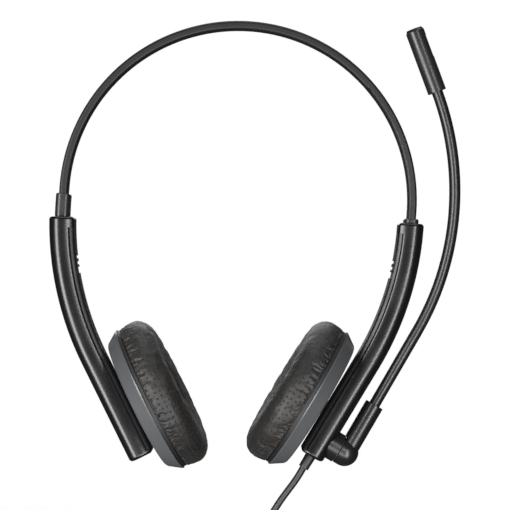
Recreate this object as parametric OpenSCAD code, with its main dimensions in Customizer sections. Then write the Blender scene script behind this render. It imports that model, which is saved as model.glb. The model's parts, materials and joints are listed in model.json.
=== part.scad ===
// Office headset: sprung headband, two curved sliding arms, two swivelling ear cups and a microphone boom.
// Millimetres, +Z up, +X towards the boom's side, origin under the headband's crown.

/* [Headband] */
// Radius of the headband's centreline
band_r = 69.5; // [68:0.5:72]
// Thickness of the headband sleeve
band_t = 3.5; // [3.4:0.1:3.8]
// Width of the headband sleeve, front to back
band_w = 7.5; // [7:0.1:8]

/* [Arms] */
// Radius of an arm's curved centreline, which is also the slider's
arm_r = 121; // [118:1:124]
// Thickness of an arm, ear side to outside
arm_t = 10.1; // [9.9:0.1:10.6]
// Width of an arm, front to back
arm_w = 14; // [13.6:0.2:15]
// Angle of the arm's straight lower part from vertical
arm_bend = 27; // [25:1:29]
// Length of the arm's straight lower part
arm_straight = 43.6; // [42:0.2:46]
// How far the left arm is drawn out, in degrees of its curve
left_draw = 3.5; // [0:0.5:8]

/* [Ear cups] */
// Height of the cup's centre above the arm's lower end
cup_up = 19; // [18:0.5:21]
// Radius of the cup housing's rim
cup_r = 30.5; // [30:0.5:32]
// Radius of the ear cushion
cushion_r = 31.6; // [31:0.2:33]
// Depth of the ear cushion
cushion_t = 12; // [11:0.5:14]

/* [Microphone boom] */
// Diameter of the boom tube
boom_d = 4.5; // [4:0.1:5]
// Length of the boom's straight lower part, from the pivot
boom_straight = 56.4; // [50:0.2:60]
// Radius of the boom's curve
boom_r = 111; // [105:1:118]
// Length of the microphone housing
mic_len = 26.7; // [24:0.1:30]
// Diameter of the microphone housing
mic_d = 7.5; // [7:0.1:8.5]

/* [Cord] */
// Diameter of the cord
cord_d = 2.8; // [2.6:0.1:3]

/* [Hidden] */
$fn = 48;

// Headband and arm layout: both arms and sliders turn about a far centre on the other side of the head.
band_z = -(band_r - band_t / 2);
arm_cx = band_r - arm_r;
arm_cz = band_z - 5.8;
arm_top = -0.7;                                   // the arm's upper end, in degrees along its curve
arm_hx = arm_t / 2;
arm_hy = arm_w / 2;
arm_end_x = arm_cx + arm_r * cos(arm_bend) - arm_straight * sin(arm_bend);
arm_end_z = arm_cz - arm_r * sin(arm_bend) - arm_straight * cos(arm_bend);
split = 3.2;                                      // the cover meets the shell this far inside the centreline
cap_angle = 2.1;                                  // height of the shell's closed top, in degrees
foot_h = 1.6;                                     // thickness of the shell's closed foot
cover_screws = [31.6, 39.6];                      // heights of the cover's screws on the straight part
screw_r = 0.6;
screw_head_r = 2;
screw_sunk = 0.25;                                // depth of a screw's head under the cover's surface
bevel = 0.8;

// Slider: a collar under the headband, then a flat tongue.
collar_top = -1.52;
collar_low = 3;
tongue_low = 20;
collar_hx = 2.9;
collar_hy = 4.4;
tongue_hx = 1.1;
tongue_hy = 4;
slide_gap = 0.25;
band_foot = 5.4;                                  // straight ends of the headband, set into the collars

// Ear cup stack, measured from the arm's centreline towards the head.
cup_back = 7.1;
cup_seam = 13.05;
pin_r = 0.8;
pin_clear = 0.02;                                 // how much wider a pin's or a screw's seat is
swivel_in = 0.8;
swivel_mid = 0.4;                                 // the swivel pin's middle, above the cup's axis
swivel_len = 18.2;
tilt_in = 10.4;
cushion_in = 14.5;
cushion_out = cushion_in + cushion_t;

// Boom pivot, measured from the arm's centreline outwards.
pivot_up = 8;
base_out = 8.2;
boss_r = 5.9;
washer_t = 0.5;
knob_r = 5.6;
knob_flat = 10.8;
boom_out = 11.6;                                  // the boom's line crosses the pivot axis here
boom_lean = 26;
boom_tip = 24.5;
boom_tip_r = boom_r + 3;
socket_len = 22.4;
pivot_x = arm_end_x + boom_out * cos(arm_bend) + pivot_up * sin(arm_bend);
pivot_z = arm_end_z - boom_out * sin(arm_bend) + pivot_up * cos(arm_bend);
bend_x = pivot_x + boom_straight * sin(boom_lean);
bend_z = pivot_z + boom_straight * cos(boom_lean);
boom_cx = bend_x - boom_r * cos(boom_lean);
boom_cz = bend_z + boom_r * sin(boom_lean);
boom_cx2 = boom_cx + boom_r - boom_tip_r;
mic_x = boom_cx2 + boom_tip_r * cos(boom_tip);
mic_z = boom_cz + boom_tip_r * sin(boom_tip);

// Cord: out of the arm's foot, down to the surface, round the coil and out to the plug.
floor_z = -222;
relief_len = 5.8;
coil_x = 0;
coil_y = 9;
coil_r = 6 * cord_d;
coil_half = 2 * cord_d;
coil_h = 4 * cord_d;
plug_r = 4;
plug_z = floor_z + plug_r;
grip_x = 34;
grip_len = 18;
grip_y = 28;
jack_r = 1.75;
jack_barrel = 11.6;
lead_route = [
    [33.8, 0, -172.5], [32.4, 0, -175.4], [30.6, 0, -178.6], [28.3, 0, -182.2], [25.8, 0, -186.2],
    [23.4, 0, -190.6], [21.2, -0.4, -195.4], [19, -1.6, -200.2], [16.2, -3.8, -204.8],
    [12.6, -6.8, -208.6], [8.4, -9.6, -211], [4, -11.4, -212], [0, -12, -212.2]
];
tail_route = [
    [0, 30, -220.6], [5, 29.9, -220.6], [10, 29.5, -220.6], [15, 28.9, -220.5],
    [20, 28.4, -220], [25, 28.1, -219.1], [29.5, 28, -218.3], [34, 28, -218]
];

// ---- Places ----

// Leaves a piece on the right, or mirrors it to the left and draws the left arm out along its curve.
module on_side(s) {
    if (s > 0) children();
    else translate([-arm_cx, 0, arm_cz]) rotate([0, -left_draw, 0]) translate([arm_cx, 0, -arm_cz])
        mirror([1, 0, 0]) children();
}

// The same for what stays with the headband.
module on_band(s) {
    if (s > 0) children();
    else mirror([1, 0, 0]) children();
}

// Sweeps an outline about a centre in the XZ plane, clockwise from +X as seen from the front.
module sweep(cx, cz, r, from, to)
    translate([cx, 0, cz]) rotate([-90, 0, 0]) rotate([0, 0, from])
        rotate_extrude(angle = to - from) translate([r, 0]) children();

module along_arm(from, to) sweep(arm_cx, arm_cz, arm_r, from, to) children();

// Frame at an angle along the arm's curve: +Z up the arm, +X outwards.
module at_curve(a)
    translate([arm_cx + arm_r * cos(a), 0, arm_cz - arm_r * sin(a)]) rotate([0, a, 0]) children();

// Frame at the arm's lower end: +Z up the arm, +X outwards.
module at_arm() translate([arm_end_x, 0, arm_end_z]) rotate([0, arm_bend, 0]) children();

module up_arm(from, to) at_arm() translate([0, 0, from]) linear_extrude(to - from) children();

// Frame on the cup's axis: +Z towards the head, +X up the arm.
module at_cup() at_arm() translate([0, 0, cup_up]) rotate([0, -90, 0]) children();

// Frame on the boom's pivot axis: +Z outwards.
module at_pivot() at_arm() translate([0, 0, pivot_up]) rotate([0, 90, 0]) children();

// Frame on the boom's line at the pivot: +Z along the boom.
module at_boom() translate([pivot_x, 0, pivot_z]) rotate([0, boom_lean, 0]) children();

// Frame at the microphone's lower end: +Z along the housing, +X away from the headband.
module at_mic() translate([mic_x, 0, mic_z]) rotate([0, -boom_tip, 0]) children();

// Runs a piece along the whole headband, from one collar to the other.
module along_band(foot, r) {
    sweep(0, band_z, r, 180, 360) children();
    for (a = [0, 180])
        rotate([0, 0, a]) translate([r, 0, band_z - foot]) linear_extrude(foot) children();
}

// ---- Outlines ----

// Rectangle with true round corners.
module round_rect(x, y, r) {
    square([2 * x, 2 * (y - r)], center = true);
    square([2 * (x - r), 2 * y], center = true);
    for (i = [-1, 1], j = [-1, 1]) translate([i * (x - r), j * (y - r)]) circle(r = r);
}

// Outside of the whole arm: full round outer corners, tighter ones on the ear side.
module arm_outline() {
    outer = 4.4;
    inner = 1.4;
    polygon([
        [-arm_hx + inner, -arm_hy], [arm_hx - outer, -arm_hy], [arm_hx, -arm_hy + outer],
        [arm_hx, arm_hy - outer], [arm_hx - outer, arm_hy], [-arm_hx + inner, arm_hy],
        [-arm_hx, arm_hy - inner], [-arm_hx, -arm_hy + inner]
    ]);
    for (j = [-1, 1]) {
        translate([arm_hx - outer, j * (arm_hy - outer)]) circle(r = outer);
        translate([-arm_hx + inner, j * (arm_hy - inner)]) circle(r = inner);
    }
}

// Half of the arm's outline on one side of the split, with its corners at the split bevelled for a seam line.
module split_outline(inner) {
    seam = 0.3;
    far = 12;
    side = inner ? -1 : 1;
    intersection() {
        arm_outline();
        polygon([
            [-split, -arm_hy + seam], [-split + side * seam, -arm_hy], [-split + side * seam, -far],
            [side * far, -far], [side * far, far], [-split + side * seam, far],
            [-split + side * seam, arm_hy], [-split, arm_hy - seam]
        ]);
    }
}

// A frustum that opens downwards at 45 degrees and bevels the edges of a block's top.
module top_bevel(x, y, c) {
    far = 200;
    intersection() {
        rotate([90, 0, 0]) linear_extrude(2 * far, center = true)
            polygon([[c - x, 0], [x - c, 0], [x - c + far, -far], [c - x - far, -far]]);
        rotate([90, 0, 90]) linear_extrude(2 * far, center = true)
            polygon([[c - y, 0], [y - c, 0], [y - c + far, -far], [c - y - far, -far]]);
    }
}

// ---- Headband ----

module headband_sleeve() {
    color("#333335") difference() {
        along_band(band_foot, band_r) round_rect(band_t / 2, band_w / 2, 1.2);
        along_band(band_foot + 1, band_r - 0.6) square([1, 5.4], center = true);
        along_band(band_foot + 1, band_r + 0.8) circle(r = 0.55);
    }
}

module headband_spring() {
    color("silver") along_band(band_foot, band_r - 0.6) square([0.8, 5.2], center = true);
}

module headband_wire() {
    color("#7a2f2a") along_band(band_foot, band_r + 0.8) circle(r = 0.45);
}

module slider(s) {
    color("#2c2c2e") on_band(s) difference() {
        union() {
            intersection() {
                along_arm(collar_top, collar_low) round_rect(collar_hx, collar_hy, 2.2);
                at_curve(collar_top) top_bevel(collar_hx, collar_hy, 0.5);
            }
            along_arm(collar_low - 1, tongue_low) square([2 * tongue_hx, 2 * tongue_hy], center = true);
        }
        translate([band_r, 0, band_z - band_foot]) linear_extrude(band_foot + 1)
            round_rect(band_t / 2 + 0.03, band_w / 2 + 0.03, 1.2);
        for (a = [collar_low + 2 : 1.5 : tongue_low - 1])
            at_curve(a) translate([-tongue_hx, 0, 0]) cube([0.6, 3, 0.6], center = true);
    }
}

// ---- Arms ----

module arm_shell(s) {
    color("#1d1d1f") on_side(s) intersection() {
        difference() {
            union() {
                along_arm(arm_top, arm_top + cap_angle) arm_outline();
                along_arm(arm_top + cap_angle, arm_bend) split_outline(false);
                up_arm(foot_h, arm_straight) split_outline(false);
                up_arm(0, foot_h) arm_outline();
                for (a = [arm_top + cap_angle, arm_bend])
                    at_curve(a) translate([arm_hx - 1.1, 0, 0]) cube([1, 6, 1.6], center = true);
                at_arm() translate([arm_hx - 1.1, 0, foot_h]) cube([1, 6, 1.6], center = true);
            }
            // Mouth that takes the collar, then the tongue's channel.
            along_arm(arm_top - 1, collar_low + 0.5)
                square([2 * (collar_hx + slide_gap), 2 * (collar_hy + slide_gap)], center = true);
            along_arm(arm_top + cap_angle, 24.6) translate([-split - 1, -tongue_hy - slide_gap])
                square([split + 1 + tongue_hx + slide_gap, 2 * (tongue_hy + slide_gap)]);
            // Pocket and seats of the swivel pin, and the wire's way past it.
            at_cup() translate([-6.2, -3.1, -1.9]) cube([12.4, 6.2, 9]);
            at_cup() translate([swivel_mid, 0, swivel_in]) rotate([0, 90, 0])
                cylinder(r = pin_r + pin_clear, h = swivel_len + 0.4, center = true);
            for (z = cover_screws) at_arm() translate([-split - 1, 0, z]) rotate([0, 90, 0])
                cylinder(r = screw_r + pin_clear, h = 3.4);
            // Hole for the boom's screw and a pocket for its head.
            if (s > 0) {
                at_pivot() translate([0, 0, -7]) cylinder(r = 1.1, h = 14);
                at_pivot() translate([0, 0, -4]) cylinder(r = 2.4, h = 3.4);
                at_arm() translate([0, 0, -1]) cylinder(r = 2.25, h = 4);
                at_arm() translate([-0.2, 0, foot_h]) cylinder(r = 2.9, h = 2.7);
            }
        }
        at_curve(arm_top) top_bevel(arm_hx, arm_hy, bevel);
        at_arm() mirror([0, 0, 1]) top_bevel(arm_hx, arm_hy, bevel);
    }
}

module arm_cover(s) {
    color("#242426") on_side(s) difference() {
        union() {
            along_arm(arm_top + cap_angle + 0.08, arm_bend) split_outline(true);
            up_arm(foot_h + 0.1, arm_straight) split_outline(true);
            at_curve(arm_bend) translate([-split - 0.9, 0, 0]) cube([1, 8, 1.6], center = true);
            // Rib that keeps the tongue against the shell.
            along_arm(5, 21) translate([-split - 0.5, -2.5]) square([split + 0.5 - tongue_hx - slide_gap, 5]);
        }
        at_cup() translate([-3.6, -3.4, 0]) cube([7.2, 6.8, 9]);
        for (z = cover_screws) at_arm() translate([-arm_hx - 1, 0, z]) rotate([0, 90, 0])
            screw_hole(screw_r, screw_head_r, 1 + screw_sunk, 6);
        // Side marks: short slots across the ear side.
        for (a = [7.2, 8.4, 9.8])
            at_curve(a) translate([-arm_hx, 0, 0]) cube([1.1, 7, a > 9 ? 2.6 : 1.2], center = true);
    }
}

// Countersunk hole from z = 0 upwards, clear all round a screw whose head starts at screw_z.
module screw_hole(r, head_r, screw_z, h) {
    clear = 0.1;
    cylinder(r = r + clear, h = h);
    cylinder(r = head_r + clear, h = screw_z + 0.25);
    translate([0, 0, screw_z + 0.25]) cylinder(r1 = head_r + clear, r2 = r + clear, h = 1.1);
}

// Countersunk screw with a cross recess, its flat head at z = 0.
module small_screw(r, head_r, h) {
    difference() {
        union() {
            cylinder(r = head_r, h = 0.2);
            translate([0, 0, 0.2]) cylinder(r1 = head_r, r2 = r, h = 1.1);
            cylinder(r = r, h = h);
        }
        for (a = [0, 90]) rotate([0, 0, a]) cube([1.6 * head_r, 0.35, 1.2], center = true);
    }
}

module arm_screws(s) {
    color("silver") on_side(s) for (z = cover_screws)
        at_arm() translate([-arm_hx + screw_sunk, 0, z]) rotate([0, 90, 0])
            small_screw(screw_r, screw_head_r, 3.6);
}

module detent_spring(s) {
    color("silver") on_side(s) along_arm(21.4, 24.4) {
        translate([-1.2, -3]) square([0.3, 6]);
        translate([-0.9, -3]) square([2.2, 0.3]);
    }
}

// ---- Cup joint ----

module swivel_pin(s) {
    color("silver") on_side(s) at_cup() translate([swivel_mid, 0, swivel_in]) rotate([0, 90, 0])
        cylinder(r = pin_r, h = swivel_len, center = true);
}

module pivot_block(s) {
    barrel_r = 1.9;
    color("#2a2a2c") on_side(s) at_cup() difference() {
        union() {
            translate([0, 0, swivel_in]) rotate([0, 90, 0]) cylinder(r = barrel_r, h = 6, center = true);
            translate([-3, -1.8, swivel_in]) cube([6, 3.6, 7]);
            translate([-3, -2.9, 7.2]) cube([6, 5.8, 4.6]);
        }
        translate([0, 0, swivel_in]) rotate([0, 90, 0]) cylinder(r = pin_r + 0.05, h = 20, center = true);
        translate([0, 0, tilt_in]) rotate([90, 0, 0]) cylinder(r = pin_r + 0.05, h = 20, center = true);
    }
}

module tilt_pin(s) {
    color("silver") on_side(s) at_cup() translate([0, 0, tilt_in]) rotate([90, 0, 0])
        cylinder(r = pin_r, h = 11, center = true);
}

// ---- Ear cups ----

module cup_housing(s) {
    wall = 1.5;
    color("#3a3b3d") on_side(s) at_cup() difference() {
        union() {
            rotate_extrude() polygon([
                [0, cup_back], [20, cup_back], [cup_r - 3.9, cup_back + 0.4], [cup_r - 3.2, cup_back + 0.9],
                [cup_r - 0.1, cup_seam - 0.5], [cup_r, cup_seam], [cup_r - wall, cup_seam],
                [cup_r - wall - 2.9, cup_back + 2], [20, cup_back + wall], [0, cup_back + wall]
            ]);
            for (j = [-1, 1]) translate([-2.4, j * 4.4 - 1.1, cup_back + 0.5]) cube([4.8, 2.2, 4.7]);
            for (a = [60 : 120 : 300]) rotate([0, 0, a]) translate([24, 0, cup_back + 1])
                cylinder(r = 2, h = cup_seam - cup_back - 1);
        }
        translate([-3.6, -3.3, 0]) cube([7.2, 6.6, 12]);
        translate([0, 0, tilt_in]) rotate([90, 0, 0])
            cylinder(r = pin_r + pin_clear, h = 20, center = true);
        for (a = [60 : 120 : 300]) rotate([0, 0, a]) translate([24, 0, cup_back + 2.5])
            cylinder(r = screw_r + pin_clear, h = 8);
    }
}

module baffle(s) {
    color("#1b1b1c") on_side(s) at_cup() difference() {
        translate([0, 0, cup_seam]) cylinder(r = cup_r - 0.5, h = 1.35);
        cylinder(r = 17.1, h = 30);
        for (a = [60 : 120 : 300]) rotate([0, 0, a]) translate([24, 0, 0]) cylinder(r = 0.75, h = 30);
        for (a = [0 : 60 : 300]) rotate([0, 0, a]) translate([20.5, 0, 0]) cylinder(r = 1.2, h = 30);
    }
}

module baffle_screws(s) {
    color("silver") on_side(s) at_cup() for (a = [60 : 120 : 300]) rotate([0, 0, a])
        translate([24, 0, cup_seam + 1.35]) {
            translate([0, 0, -4.6]) cylinder(r = screw_r, h = 4.6);
            cylinder(r = 1.5, h = 0.6);
        }
}

module speaker_frame(s) {
    color("#4a4a4c") on_side(s) at_cup() rotate_extrude() polygon([
        [8.1, 13], [12, 13], [16.9, 14], [16.9, 14.45], [18.3, 14.45], [18.3, 15.2],
        [15.4, 15.2], [11.5, 14.6], [8.1, 14.6]
    ]);
}

module speaker_magnet(s) {
    color("#8d9094") on_side(s) at_cup() translate([0, 0, 12.4]) cylinder(r = 8, h = 2);
}

module speaker_cone(s) {
    color("#c9c6bd") on_side(s) at_cup() rotate_extrude() polygon([
        [0, 16.1], [4, 15.9], [7, 15.2], [11, 15.5], [14.8, 15.25], [14.8, 15.4],
        [11, 15.7], [7, 15.4], [4, 16.1], [0, 16.3]
    ]);
}

module damping_cloth(s) {
    color("#161616") on_side(s) at_cup() translate([0, 0, 16.6]) cylinder(r = 18.2, h = 0.3);
}

module cushion_ring(s) {
    color("#18181a") on_side(s) at_cup() translate([0, 0, cup_seam + 1.4]) difference() {
        cylinder(r = cup_r - 1, h = 0.8);
        translate([0, 0, -1]) cylinder(r = cup_r - 3.6, h = 4);
    }
}

module ear_cushion(s) {
    back = cushion_in;
    r = cushion_r;
    color("#383533") on_side(s) at_cup() rotate_extrude() polygon([
        [0, 17.3], [19, 17.3], [19, back + 0.9], [cup_r - 0.8, back + 0.9], [cup_r - 0.8, back],
        [r - 1.1, back], [r - 0.4, back + 1.6], [r, back + 3.8], [r, back + 6], [r - 0.6, back + 8.2],
        [r - 2, back + 10.1], [r - 4.2, back + 11.4], [r - 7, cushion_out], [r - 10, cushion_out - 0.1],
        [12, cushion_out - 1.6], [0, cushion_out - 2.4]
    ]);
}

// ---- Microphone boom ----

module boom_base() {
    color("#232325") difference() {
        at_pivot() translate([0, 0, 0.5]) cylinder(r = boss_r, h = base_out - 0.5);
        up_arm(-2, 20) arm_outline();
        at_pivot() cylinder(r = 1.1, h = 20);
    }
}

module boom_pivot_screw() {
    color("silver") at_pivot() {
        translate([0, 0, -2.2]) cylinder(r = 2.1, h = 1.5);
        translate([0, 0, -2.2]) cylinder(r = 1, h = 15);
    }
}

module friction_washer() {
    color("#6b6b6b") at_pivot() translate([0, 0, base_out]) difference() {
        cylinder(r = 4.9, h = washer_t - 0.05);
        translate([0, 0, -1]) cylinder(r = 1.05, h = 3);
    }
}

// The knob's full outer form, which the socket is cut to.
module knob_form(grow) {
    at_pivot() rotate_extrude() {
        translate([0, base_out + washer_t]) square([knob_r + grow, knob_flat - base_out - washer_t]);
        intersection() {
            translate([0, knob_flat]) circle(r = knob_r + grow);
            translate([0, knob_flat]) square(20);
        }
    }
}

module boom_knob() {
    color("#202022") difference() {
        knob_form(0);
        at_pivot() cylinder(r = 1.05, h = 13.2);
    }
}

module boom_socket() {
    color("#1b1b1d") difference() {
        at_boom() cylinder(r = 3.8, h = socket_len);
        knob_form(0.02);
        at_pivot() cylinder(r = boss_r + 0.15, h = base_out + washer_t + 0.05);
        at_boom() translate([0, 0, 8.5]) cylinder(r = boom_d / 2 + 0.05, h = 30);
    }
}

module boom_tube() {
    color("#252527") {
        at_boom() translate([0, 0, 9]) cylinder(d = boom_d, h = boom_straight - 9);
        // The middle stretch is a hair thinner and runs a little into its neighbours, which joins all three.
        sweep(boom_cx, boom_cz, boom_r, -0.5, boom_lean + 0.5) circle(d = boom_d - 0.06);
        sweep(boom_cx2, boom_cz, boom_tip_r, -boom_tip, 0) circle(d = boom_d);
    }
}

module mic_housing() {
    color("#2a2a2c") at_mic() difference() {
        cylinder(d = mic_d, h = mic_len - 1.2);
        translate([0, 0, 12]) cylinder(r = 2.9, h = 30);
        translate([0, -1.7, 14]) cube([6, 3.4, 9]);
    }
}

module mic_cap() {
    color("#2f2f31") at_mic() translate([0, 0, mic_len - 1.2]) {
        cylinder(r1 = mic_d / 2, r2 = mic_d / 2 - 0.6, h = 1.2);
        translate([0, 0, -1]) cylinder(r = 2.85, h = 1.2);
    }
}

module mic_grille() {
    color("#101011") at_mic() difference() {
        intersection() {
            cylinder(d = mic_d - 0.3, h = mic_len);
            translate([2.95, -1.65, 14.05]) cube([6, 3.3, 8.9]);
        }
        for (z = [15.6 : 1.4 : 22]) translate([0, 0, z]) rotate([0, 90, 0]) cylinder(r = 0.4, h = 6);
    }
}

module mic_element() {
    color("#a9abae") at_mic() translate([0, 0, 18.5]) rotate([0, 90, 0]) {
        translate([0, 0, 0.4]) cylinder(r = 2.2, h = 1.4);
    }
}

// ---- Cord ----

function unit(v) = v / norm(v);

// Catmull-Rom curve through a route's points, n steps to a stretch.
function between(a, b, c, d, t) =
    0.5 * (2 * b + (c - a) * t + (2 * a - 5 * b + 4 * c - d) * t * t + (3 * b - a - 3 * c + d) * t * t * t);
function smooth(p, n) = let (last = len(p) - 1) [
    for (i = [0 : last - 1], k = [0 : n - 1])
        between(p[max(i - 1, 0)], p[i], p[i + 1], p[min(i + 2, last)], k / n),
    p[last]
];

// Directions across a path, each turned as little as possible from the one before.
function across(dirs, v, i = 0) = i == len(dirs) ? [] :
    let (w = unit(v - (v * dirs[i]) * dirs[i])) concat([w], across(dirs, w, i + 1));

module tube(path, r, sides) {
    last = len(path) - 1;
    dirs = [for (i = [0 : last]) unit(path[min(i + 1, last)] - path[max(i - 1, 0)])];
    side = across(dirs, [0, 1, 0]);
    points = [
        for (i = [0 : last], k = [0 : sides - 1])
            path[i] + r * (cos(360 * k / sides) * side[i] + sin(360 * k / sides) * cross(dirs[i], side[i]))
    ];
    walls = [
        for (i = [0 : last - 1], k = [0 : sides - 1]) let (m = (k + 1) % sides)
            [i * sides + k, (i + 1) * sides + k, (i + 1) * sides + m, i * sides + m]
    ];
    polyhedron(points, concat(
        [[for (k = [0 : sides - 1]) k]], walls, [[for (k = [0 : sides - 1]) last * sides + sides - 1 - k]]
    ));
}

module cord_gland() {
    color("#1a1a1b") at_arm() {
        cylinder(r = 2.15, h = foot_h + 0.1);
        translate([0, 0, foot_h + 0.1]) cylinder(r = 2.6, h = 2.4);
    }
}

module cord_relief() {
    color("#262627") at_arm() translate([0, 0, -relief_len]) cylinder(r1 = 2.05, r2 = 2.2, h = relief_len);
}

module cord_lead() {
    color("#242424") tube(smooth(lead_route, 2), cord_d / 2, 8);
}

module cord_coil() {
    color("#242424") translate([coil_x, coil_y, floor_z]) rotate_extrude()
        translate([coil_r - coil_half, 0]) square([2 * coil_half, coil_h]);
}

module cord_tie() {
    strap = 0.8;
    color("#111111") translate([coil_x, coil_y, floor_z]) rotate([0, 0, 200]) difference() {
        translate([coil_r - coil_half - strap, -5, 0]) cube([2 * (coil_half + strap), 10, coil_h + strap]);
        translate([coil_r - coil_half, -6, strap]) cube([2 * coil_half, 12, coil_h - strap]);
    }
}

module cord_tail() {
    color("#242424") tube(smooth(tail_route, 2), cord_d / 2, 8);
}

// Frame at the plug's back end: +Z along the plug.
module at_plug() translate([grip_x, grip_y, plug_z]) rotate([0, 90, 0]) children();

module plug_grip() {
    color("#1f1f20") at_plug() difference() {
        union() {
            cylinder(r1 = 2.6, r2 = plug_r, h = 5);
            translate([0, 0, 5]) cylinder(r = plug_r, h = grip_len - 5);
        }
        for (z = [7 : 2 : 15]) translate([0, 0, z]) difference() {
            cylinder(r = plug_r + 1, h = 0.8);
            cylinder(r = plug_r - 0.35, h = 0.8);
        }
    }
}

module plug_collar() {
    color("gold") at_plug() translate([0, 0, grip_len]) cylinder(r = 2.6, h = 0.9);
}

module plug_pin() {
    color("gold") at_plug() translate([0, 0, grip_len + 0.9]) rotate_extrude() polygon([
        [0, 0], [jack_r, 0], [jack_r, jack_barrel], [1.3, jack_barrel + 0.4], [1.3, jack_barrel + 0.8],
        [1.6, jack_barrel + 1.3], [0.5, jack_barrel + 2.4], [0, jack_barrel + 2.4]
    ]);
}

headband_sleeve();
headband_spring();
headband_wire();
slider(1);  // slider_right
arm_shell(1);  // arm_shell_right
arm_cover(1);  // arm_cover_right
arm_screws(1);  // arm_screws_right
detent_spring(1);  // detent_spring_right
swivel_pin(1);  // swivel_pin_right
pivot_block(1);  // pivot_block_right
cup_housing(1);  // cup_housing_right
tilt_pin(1);  // tilt_pin_right
baffle(1);  // baffle_right
baffle_screws(1);  // baffle_screws_right
speaker_frame(1);  // speaker_frame_right
speaker_magnet(1);  // speaker_magnet_right
speaker_cone(1);  // speaker_cone_right
damping_cloth(1);  // damping_cloth_right
cushion_ring(1);  // cushion_ring_right
ear_cushion(1);  // ear_cushion_right
slider(-1);  // slider_left
arm_shell(-1);  // arm_shell_left
arm_cover(-1);  // arm_cover_left
arm_screws(-1);  // arm_screws_left
detent_spring(-1);  // detent_spring_left
swivel_pin(-1);  // swivel_pin_left
pivot_block(-1);  // pivot_block_left
cup_housing(-1);  // cup_housing_left
tilt_pin(-1);  // tilt_pin_left
baffle(-1);  // baffle_left
baffle_screws(-1);  // baffle_screws_left
speaker_frame(-1);  // speaker_frame_left
speaker_magnet(-1);  // speaker_magnet_left
speaker_cone(-1);  // speaker_cone_left
damping_cloth(-1);  // damping_cloth_left
cushion_ring(-1);  // cushion_ring_left
ear_cushion(-1);  // ear_cushion_left
boom_base();
boom_pivot_screw();
friction_washer();
boom_knob();
boom_socket();
boom_tube();
mic_housing();
mic_cap();
mic_grille();
mic_element();
cord_gland();
cord_relief();
cord_lead();
cord_coil();
cord_tie();
cord_tail();
plug_grip();
plug_collar();
plug_pin();
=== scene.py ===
import json
import math
import random

import bmesh
import bpy
from mathutils import Matrix, Vector, noise


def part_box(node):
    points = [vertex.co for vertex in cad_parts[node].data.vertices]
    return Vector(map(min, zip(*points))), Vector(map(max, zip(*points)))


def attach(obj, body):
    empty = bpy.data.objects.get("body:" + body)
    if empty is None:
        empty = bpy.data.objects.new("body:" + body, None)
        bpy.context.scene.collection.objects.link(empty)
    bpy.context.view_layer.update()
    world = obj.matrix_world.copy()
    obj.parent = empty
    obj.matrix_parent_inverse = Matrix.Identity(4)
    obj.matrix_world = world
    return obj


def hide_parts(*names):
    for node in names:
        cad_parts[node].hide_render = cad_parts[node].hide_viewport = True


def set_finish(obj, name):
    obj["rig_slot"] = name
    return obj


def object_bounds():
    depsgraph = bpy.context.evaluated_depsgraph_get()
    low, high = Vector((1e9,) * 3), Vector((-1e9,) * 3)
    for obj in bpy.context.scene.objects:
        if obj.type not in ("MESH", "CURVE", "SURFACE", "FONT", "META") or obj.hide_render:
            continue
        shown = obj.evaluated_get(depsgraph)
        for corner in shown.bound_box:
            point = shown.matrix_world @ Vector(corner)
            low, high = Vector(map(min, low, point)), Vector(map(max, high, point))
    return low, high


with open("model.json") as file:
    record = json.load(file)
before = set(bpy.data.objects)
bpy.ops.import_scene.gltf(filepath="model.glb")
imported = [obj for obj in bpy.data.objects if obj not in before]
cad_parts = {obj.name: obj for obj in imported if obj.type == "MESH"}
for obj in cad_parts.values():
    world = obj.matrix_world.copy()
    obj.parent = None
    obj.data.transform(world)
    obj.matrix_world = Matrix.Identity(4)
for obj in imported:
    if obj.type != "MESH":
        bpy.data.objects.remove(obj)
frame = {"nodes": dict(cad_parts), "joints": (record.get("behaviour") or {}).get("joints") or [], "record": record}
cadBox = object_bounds()
nodes = frame["nodes"]
joints = {joint["name"]: joint for joint in frame["joints"]}
mm = 0.001
scene = bpy.context.scene
scene.view_settings.view_transform = "Standard"
print("frame loaded:", len(nodes), "nodes")


# camera: level with the middle of the headset, looking along +Y, rolled a little

cameraValues = {"place": (0.00838, -0.716, -0.08919), "lens": 126.5, "sensor": 36, "roll": 4.2}


def makeCamera(values):
    data = bpy.data.cameras.new("camera")
    data.lens = values["lens"]
    data.sensor_width = values["sensor"]
    data.clip_start, data.clip_end = 0.01, 20
    camera = bpy.data.objects.new("camera", data)
    scene.collection.objects.link(camera)
    level = Matrix.Rotation(math.radians(90), 4, "X")
    roll = Matrix.Rotation(math.radians(-values["roll"]), 4, "Y")
    camera.matrix_world = Matrix.Translation(values["place"]) @ roll @ level
    scene.camera = camera


makeCamera(cameraValues)


# small helpers

def link(name, data):
    piece = bpy.data.objects.new(name, data)
    scene.collection.objects.link(piece)
    return piece


def meshPiece(name, bm):
    data = bpy.data.meshes.new(name)
    bm.to_mesh(data)
    bm.free()
    data.polygons.foreach_set("use_smooth", [True] * len(data.polygons))
    return link(name, data)


# sRGB hex to the linear values that a shader takes
def colour(hexCode):
    parts = [int(hexCode[i:i + 2], 16) / 255 for i in (1, 3, 5)]
    return [p / 12.92 if p <= 0.04045 else ((p + 0.055) / 1.055) ** 2.4 for p in parts] + [1]


def addNode(tree, kind, settings=None, links=None):
    node = tree.nodes.new(kind)
    for key, value in (settings or {}).items():
        if isinstance(key, int) or key in node.inputs:
            node.inputs[key].default_value = value
        else:
            setattr(node, key, value)
    for key, source in (links or {}).items():
        tree.links.new(source, node.inputs[key])
    return node


# cord: 2.8 mm round lead, out of the right arm's foot, down to the surface, a tied coil and a jack plug

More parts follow.
